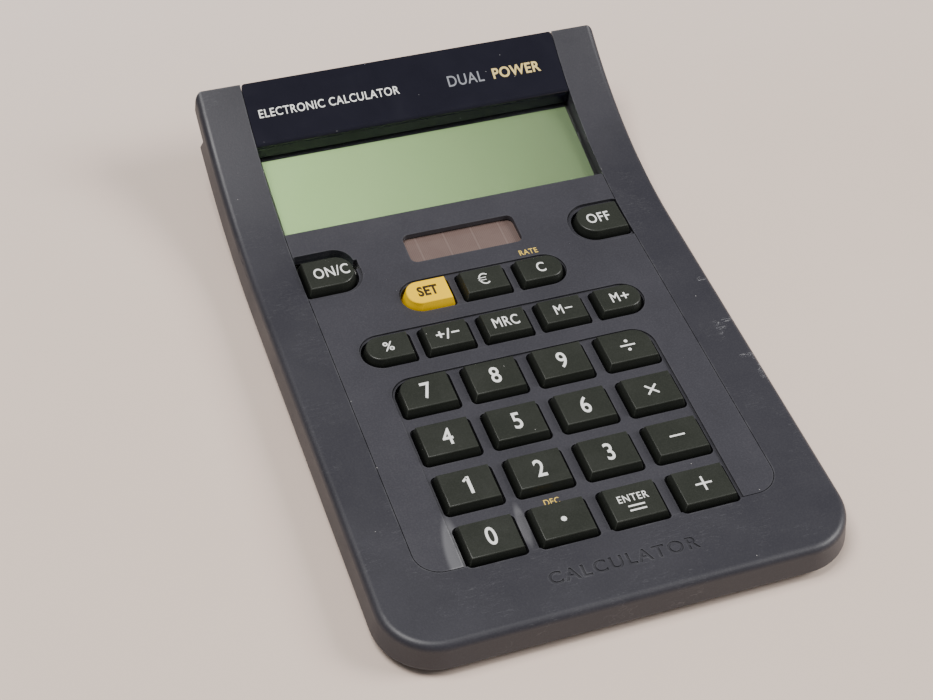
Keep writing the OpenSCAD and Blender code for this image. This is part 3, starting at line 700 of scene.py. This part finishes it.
smallLabels = {
    "key_on": ("ON/C", 0.70, 3.1), "key_off": ("OFF", 0.74, 3.0), "key_set": ("SET", 0.72, 3.0),
    "key_clear": ("C", 0.76, 2.9), "key_percent": ("%", 0.95, 2.6), "key_mrc": ("MRC", 0.70, 2.9)}
for name, (text, stretch, height) in smallLabels.items():
    finish = brownInk if name == "key_set" else whiteInk
    weight = 0.044 if name == "key_set" else 0.014
    markKey(name, letters(text, height * mm, stretch, weight, spacing=1.08), finish=finish)

markKey("key_euro", euroSign(3.4, 0.36))
memorySigns = {"key_memory_minus": [(1.35, 0, 1.7, 0.36, 0)],
               "key_memory_plus": crossBars(1.9, 0.36, 0, (1.4, 0))}
for name, extra in memorySigns.items():
    markKey(name, letters("M", 2.8 * mm, 0.72, weight=0.014), shift=(-1.0, 0))
    markKey(name, thicken(bars(extra)), suffix="Sign")

plusMinus = crossBars(1.9, 0.42, 0, (-1.7, 0.1)) + [(0.05, 0, 0.40, 3.1, -18), (1.75, 0.1, 1.8, 0.42, 0)]
markKey("key_sign", thicken(bars(plusMinus)))
markKey("key_point", thicken(bars([(0, -0.2, 0.6)])))
markKey("key_minus", thicken(bars([(0, 0, 3.4, 0.42, 0)])))
markKey("key_divide", thicken(bars([(0, 0, 3.4, 0.42, 0), (0, 1.25, 0.40), (0, -1.25, 0.40)])))
markKey("key_plus", thicken(bars(crossBars(3.6, 0.44))))
markKey("key_times", thicken(bars(crossBars(3.5, 0.44, 45))))
markKey("key_equals", thicken(bars([(0, -1.15, 3.6, 0.38, 0), (0, -2.25, 3.6, 0.38, 0)])))
markKey("key_equals", letters("ENTER", 1.8 * mm, 0.80, weight=0.012, spacing=1.14),
        shift=(0, 0.9), suffix="Word")
print("keys marked")


# Words on the case: on the band, and on the panel above two keys
caseWords = {
    "bandName": {"text": "ELECTRONIC CALCULATOR", "height": 2.1, "stretch": 0.86, "weight": 0.014,
                 "place": (-19.3, 69.6), "finish": whiteInk, "on": "band"},
    "bandDual": {"text": "DUAL", "height": 2.8, "stretch": 0.86, "weight": 0.012,
                 "place": (14.6, 69.4), "finish": greyInk, "on": "band"},
    "bandPower": {"text": "POWER", "height": 2.8, "stretch": 0.90, "weight": 0.034,
                  "place": (27.6, 69.4), "finish": goldInk, "on": "band"},
    "rateWord": {"text": "RATE", "height": 1.6, "stretch": 0.80, "weight": 0.012,
                 "place": (13.1, 20.1), "finish": yellowInk, "on": "panel"},
    "decimalWord": {"text": "DEC", "height": 1.5, "stretch": 0.80, "weight": 0.012,
                    "place": (-7.7, -48.6), "finish": yellowInk, "on": "panel"},
}

# The sunk word is cut out of the upper case before its faces are smoothed
sunkWord = {"text": "CALCULATOR", "height": 2.9, "stretch": 1.06, "spacing": 1.22, "weight": 0.02,
            "place": (0.6, -66.7), "deep": 0.22}


def carvedCase(word):
    above = 0.5 * mm
    cutter = letters(word["text"], word["height"] * mm, word["stretch"], word["weight"], word["spacing"],
                     depth=word["deep"] * mm + above, solid=True)
    setOn(cutter, nodes["upper_case"], word["place"][0] * mm, word["place"][1] * mm, lift=above)
    bmesh.ops.recalc_face_normals(cutter, faces=cutter.faces)
    holders = []
    for label, form in (("plainCase", joinedForm("upper_case")), ("wordCutter", cutter)):
        mesh = bpy.data.meshes.new(label)
        form.to_mesh(mesh)
        form.free()
        holder = bpy.data.objects.new(label, mesh)
        scene.collection.objects.link(holder)
        holders.append(holder)
    cut = holders[0].modifiers.new("sinkWord", "BOOLEAN")
    cut.operation = "DIFFERENCE"
    cut.solver = "EXACT"
    cut.object = holders[1]
    bpy.context.view_layer.update()
    carved = bmesh.new()
    shape = bpy.data.meshes.new_from_object(holders[0].evaluated_get(bpy.context.evaluated_depsgraph_get()))
    carved.from_mesh(shape)
    bpy.data.meshes.remove(shape)
    for holder in holders:
        bpy.data.objects.remove(holder)
    return carved


smoothPiece("upper_case", casePlastic, form=carvedCase(sunkWord))
print("upper case carved")

grounds = {"band": band, "panel": panel}
for name, word in caseWords.items():
    form = letters(word["text"], word["height"] * mm, word["stretch"], word["weight"], spacing=1.08)
    lay = drapeOn if word["on"] == "band" else setOn
    lay(form, grounds[word["on"]], word["place"][0] * mm, word["place"][1] * mm)
    pieceFrom(form, name, word["finish"], "casing")
print("case words set")


def layDesk():
    # A desk top with painted light, paler towards the back
    reachOut = 1.6
    form = bmesh.new()
    bmesh.ops.create_grid(form, x_segments=1, y_segments=1, size=reachOut)
    mesh = bpy.data.meshes.new("deskTop")
    form.to_mesh(mesh)
    form.free()
    desk = bpy.data.objects.new("deskTop", mesh)
    scene.collection.objects.link(desk)
    finish, tree, shader = newFinish("deskPaint", Specular_IOR_Level=0.3, Roughness=0.6)
    texture = useGroup(tree, mouldGrain, {"Grain size": 0.8, "Patch size": 60.0})
    colour = blendColours(tree, texture.outputs["Patches"],
                          (0.72, 0.582, 0.495, 1), (0.77, 0.632, 0.545, 1))
    place = tree.nodes.new("ShaderNodeTexCoord").outputs["Object"]
    away = addNode(tree, "ShaderNodeSeparateXYZ", {0: place}).outputs["Y"]
    # Painted light: the back of the desk is paler
    paintedLightBack = spread(tree, away, 0.0, 0.32, 0.0, 0.9, smooth=True)
    colour = blendColours(tree, paintedLightBack, colour, (0.95, 0.83, 0.76, 1))
    tree.links.new(colour, shader.inputs["Base Color"])
    paint(desk, finish)


layDesk()

lampColour = (1.0, 0.985, 0.965)
roomColour = (0.93, 0.95, 1.0, 1)
roomStrength = 0.23
lights = {
    "right": {"place": (0.95, -0.30, 0.75), "aim": (0, 0, 0), "size": 0.50, "power": 14.0},
    "left": {"place": (-0.30, 0.05, 0.95), "aim": (0, 0.02, 0), "size": 0.45, "power": 10.5},
}


def hangLight(name, lamp):
    data = bpy.data.lights.new(name, "AREA")
    data.shape = "SQUARE"
    data.size = lamp["size"]
    data.energy = lamp["power"]
    data.color = lampColour
    light = bpy.data.objects.new(name, data)
    light.location = lamp["place"]
    aim = Vector(lamp["aim"]) - Vector(lamp["place"])
    light.rotation_euler = aim.to_track_quat("-Z", "Y").to_euler()
    scene.collection.objects.link(light)


for name, lamp in lights.items():
    hangLight(name, lamp)

surround = bpy.data.worlds.new("roomLight")
surround.use_nodes = True
surround.node_tree.nodes["Background"].inputs["Color"].default_value = roomColour
surround.node_tree.nodes["Background"].inputs["Strength"].default_value = roomStrength
scene.world = surround
print("desk and lights set")
